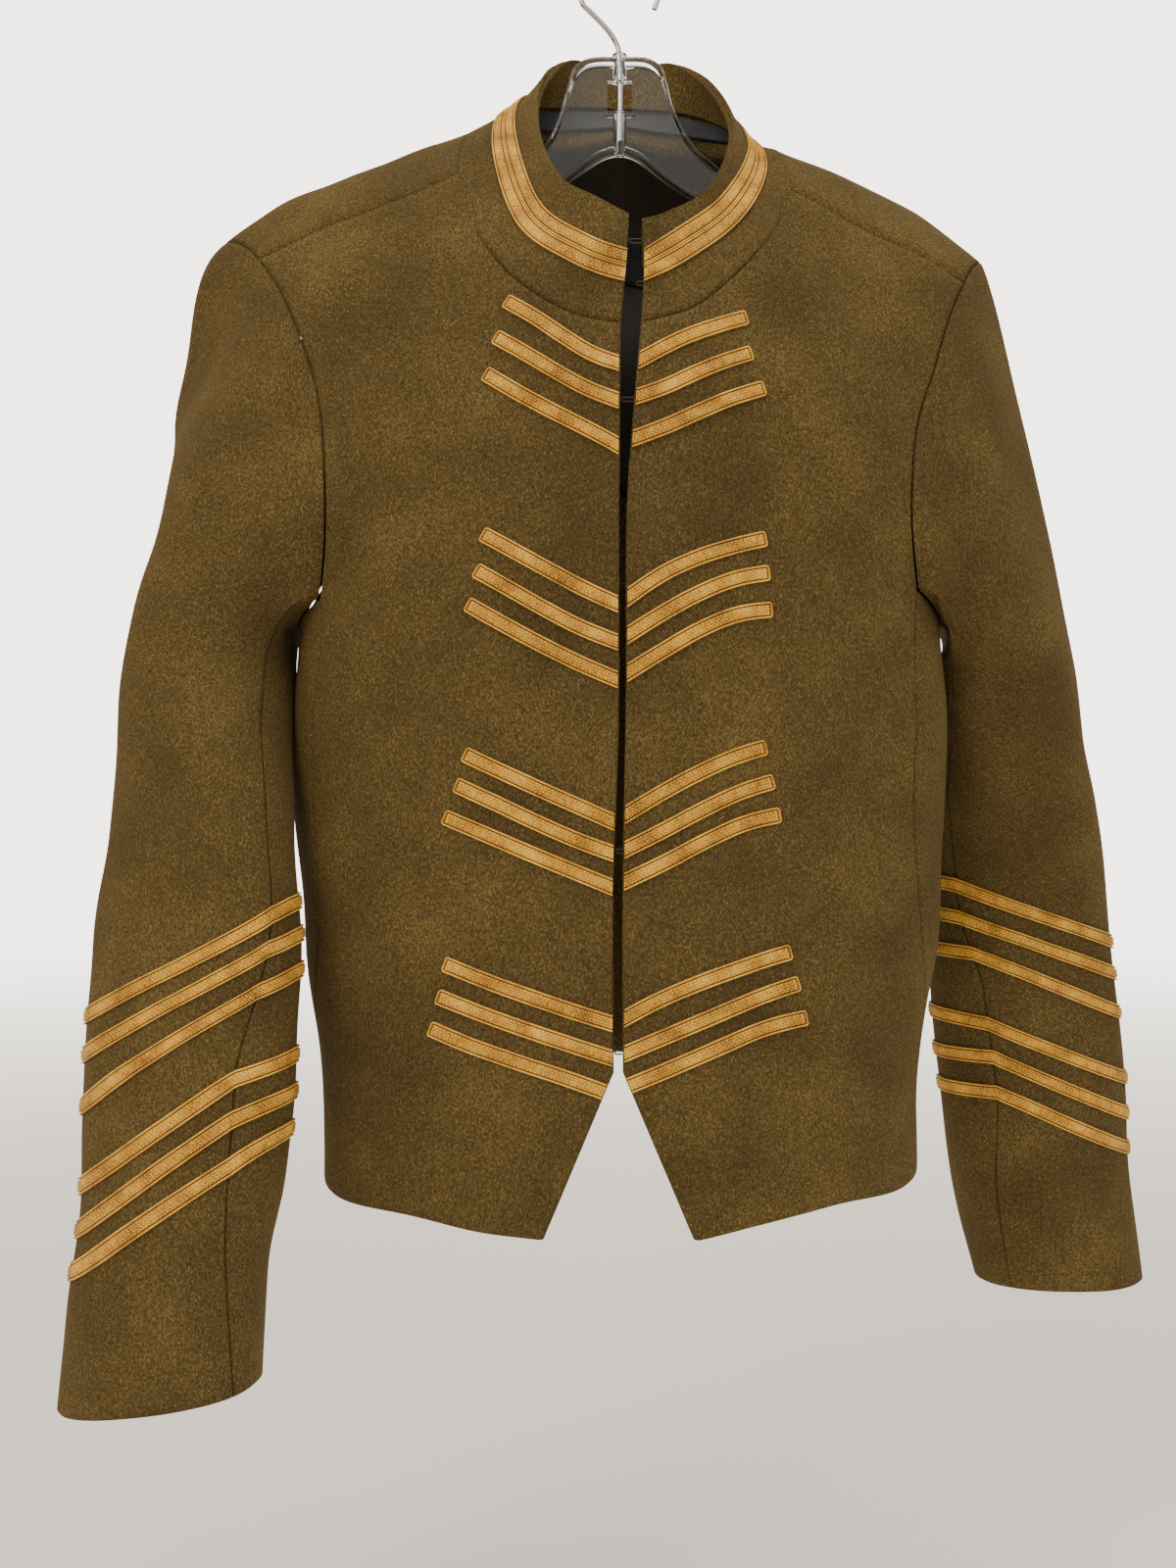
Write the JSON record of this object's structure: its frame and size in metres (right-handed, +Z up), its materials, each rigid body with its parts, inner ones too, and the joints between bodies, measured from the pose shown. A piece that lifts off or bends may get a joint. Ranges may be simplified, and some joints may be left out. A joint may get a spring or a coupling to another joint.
{
  "type": "military jacket on a hanger",
  "caption": "Cropped olive wool military jacket with stand collar, tan chevron braids on the fronts, collar and sleeves, and an open pointed front hem, on a clear hanger with a wire hook.",
  "frame": {"origin": "inside top of the hanger's hook, where it rests on a rail, in the hanger's plane", "axes": "+Z up, -Y out of the jacket's front, +X to the viewer's right"},
  "size_m": [0.6396, 0.2894, 0.8223],
  "materials": {
    "olive_wool": "olive brown milled wool",
    "tan_braid": "tan woven military braid",
    "olive_lining": "dark olive lining",
    "navy_tape": "navy black woven tape",
    "clear_plastic": "clear moulded plastic",
    "hook_steel": "bright wire",
    "dark_steel": "blackened wire"
  },
  "bodies": {
    "root": {"back": "olive_wool", "collar_braid_lower": "tan_braid", "collar_braid_upper": "tan_braid", "collar_eye": "dark_steel", "collar_hook": "dark_steel", "collar_inner": "olive_wool", "collar_outer": "olive_wool", "front_braid_left_01": "tan_braid", "front_braid_left_02": "tan_braid", "front_braid_left_03": "tan_braid", "front_braid_left_04": "tan_braid", "front_braid_left_05": "tan_braid", "front_braid_left_06": "tan_braid", "front_braid_left_07": "tan_braid", "front_braid_left_08": "tan_braid", "front_braid_left_09": "tan_braid", "front_braid_left_10": "tan_braid", "front_braid_left_11": "tan_braid", "front_braid_left_12": "tan_braid", "front_braid_right_01": "tan_braid", "front_braid_right_02": "tan_braid", "front_braid_right_03": "tan_braid", "front_braid_right_04": "tan_braid", "front_braid_right_05": "tan_braid", "front_braid_right_06": "tan_braid", "front_braid_right_07": "tan_braid", "front_braid_right_08": "tan_braid", "front_braid_right_09": "tan_braid", "front_braid_right_10": "tan_braid", "front_braid_right_11": "tan_braid", "front_braid_right_12": "tan_braid", "front_left": "olive_wool", "front_right": "olive_wool", "hanger_body": "clear_plastic", "hanger_hook": "hook_steel", "hook_and_eye_1": "dark_steel", "hook_and_eye_2": "dark_steel", "hook_and_eye_3": "dark_steel", "neck_band": "navy_tape", "neck_label": "navy_tape", "neck_lining": "olive_lining", "side_left": "olive_wool", "side_right": "olive_wool", "sleeve_braid_left_1": "tan_braid", "sleeve_braid_left_2": "tan_braid", "sleeve_braid_left_3": "tan_braid", "sleeve_braid_left_4": "tan_braid", "sleeve_braid_left_5": "tan_braid", "sleeve_braid_left_6": "tan_braid", "sleeve_braid_right_1": "tan_braid", "sleeve_braid_right_2": "tan_braid", "sleeve_braid_right_3": "tan_braid", "sleeve_braid_right_4": "tan_braid", "sleeve_braid_right_5": "tan_braid", "sleeve_braid_right_6": "tan_braid", "top_sleeve_left": "olive_wool", "top_sleeve_right": "olive_wool", "under_sleeve_left": "olive_wool", "under_sleeve_right": "olive_wool"}
  },
  "joints": []
}
